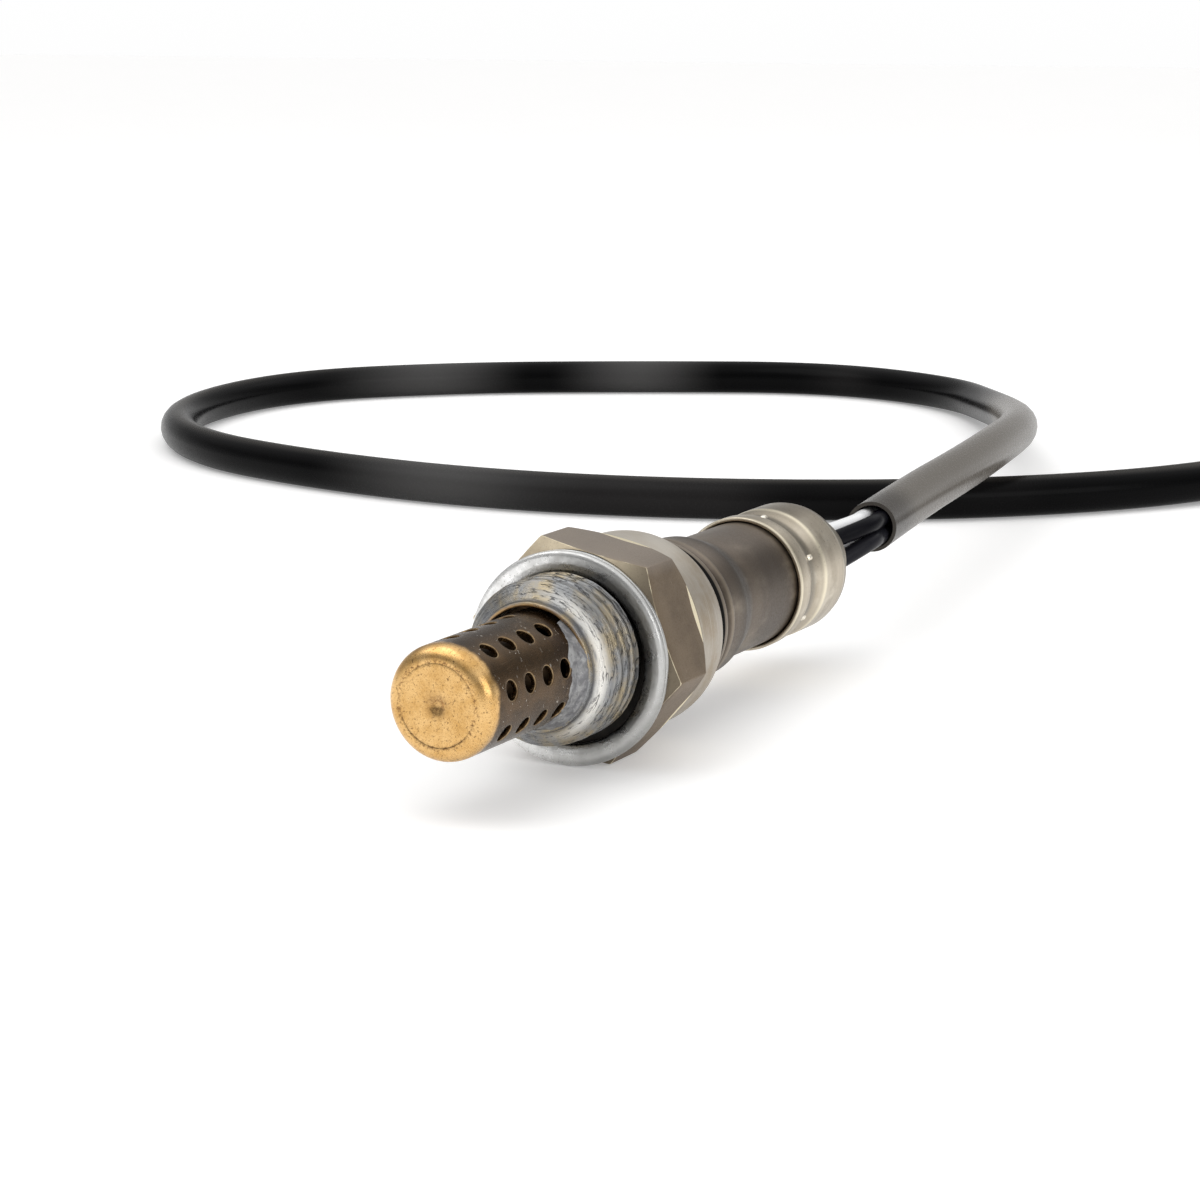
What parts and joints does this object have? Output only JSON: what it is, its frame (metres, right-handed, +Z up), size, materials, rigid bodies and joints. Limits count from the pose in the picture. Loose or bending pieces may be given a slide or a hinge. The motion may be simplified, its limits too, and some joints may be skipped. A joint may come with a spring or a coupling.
{
  "type": "oxygen sensor",
  "caption": "Heated exhaust oxygen sensor: perforated tip, threaded hexagon shell with loose sealing ring, brown sleeve, pale cap and a looped sleeved lead with connector.",
  "frame": {"origin": "on the sensor's axis at the rear end of its thread, in the plane of the sealing ring's front edge", "axes": "-Y along the axis out of the perforated tip, +Y towards the lead, +Z up from the floor that the part lies on, +X completing the frame"},
  "size_m": [0.2318, 0.3505, 0.0241],
  "materials": {
    "tip_steel": "heat-tinted drawn stainless steel",
    "inner_steel": "heat-tinted drawn stainless steel",
    "shell_steel": "plated turned steel, tan over grey",
    "ring_steel": "bright folded sheet steel",
    "sleeve_steel": "heat-tinted sheet steel",
    "cap_steel": "pale sheet steel",
    "press_steel": "plain turned steel",
    "element_ceramic": "fired ceramic strip",
    "support_ceramic": "fired ceramic",
    "powder": "pressed powder",
    "contact_metal": "nickel alloy strip",
    "membrane": "porous band",
    "grommet_rubber": "heat-proof rubber",
    "wire_white": "smooth insulation",
    "wire_black": "smooth insulation",
    "wire_grey": "smooth insulation",
    "lead_black": "glossy extruded sleeve",
    "connector_plastic": "moulded plastic",
    "connector_rubber": "moulded rubber",
    "seal_rubber": "silicone rubber",
    "lock_plastic": "moulded plastic",
    "pin_metal": "tinned pin"
  },
  "bodies": {
    "root": {"outer_protection_tube": "tip_steel", "inner_protection_tube": "inner_steel", "metal_shell": "shell_steel", "sealing_ring": "ring_steel", "sensor_element": "element_ceramic", "support_ceramic": "support_ceramic", "powder_seal": "powder", "ceramic_bush": "support_ceramic", "press_ring": "press_steel", "protective_sleeve": "sleeve_steel", "rear_cap": "cap_steel", "vent_membrane": "membrane", "cable_grommet": "grommet_rubber", "rear_spacer": "support_ceramic", "contact_holder": "support_ceramic", "spring_band": "contact_metal", "spring_contact_1": "contact_metal", "spring_contact_2": "contact_metal", "spring_contact_3": "contact_metal", "spring_contact_4": "contact_metal", "lead_wire_white_a": "wire_white", "lead_wire_white_b": "wire_white", "lead_wire_black": "wire_black", "lead_wire_grey": "wire_grey", "lead_sleeve": "lead_black", "connector_boot": "connector_rubber", "connector_housing": "connector_plastic", "wire_seal": "seal_rubber", "rear_cover": "connector_plastic", "terminal_pins": "pin_metal", "terminal_lock": "lock_plastic", "face_seal": "seal_rubber"}
  },
  "joints": []
}
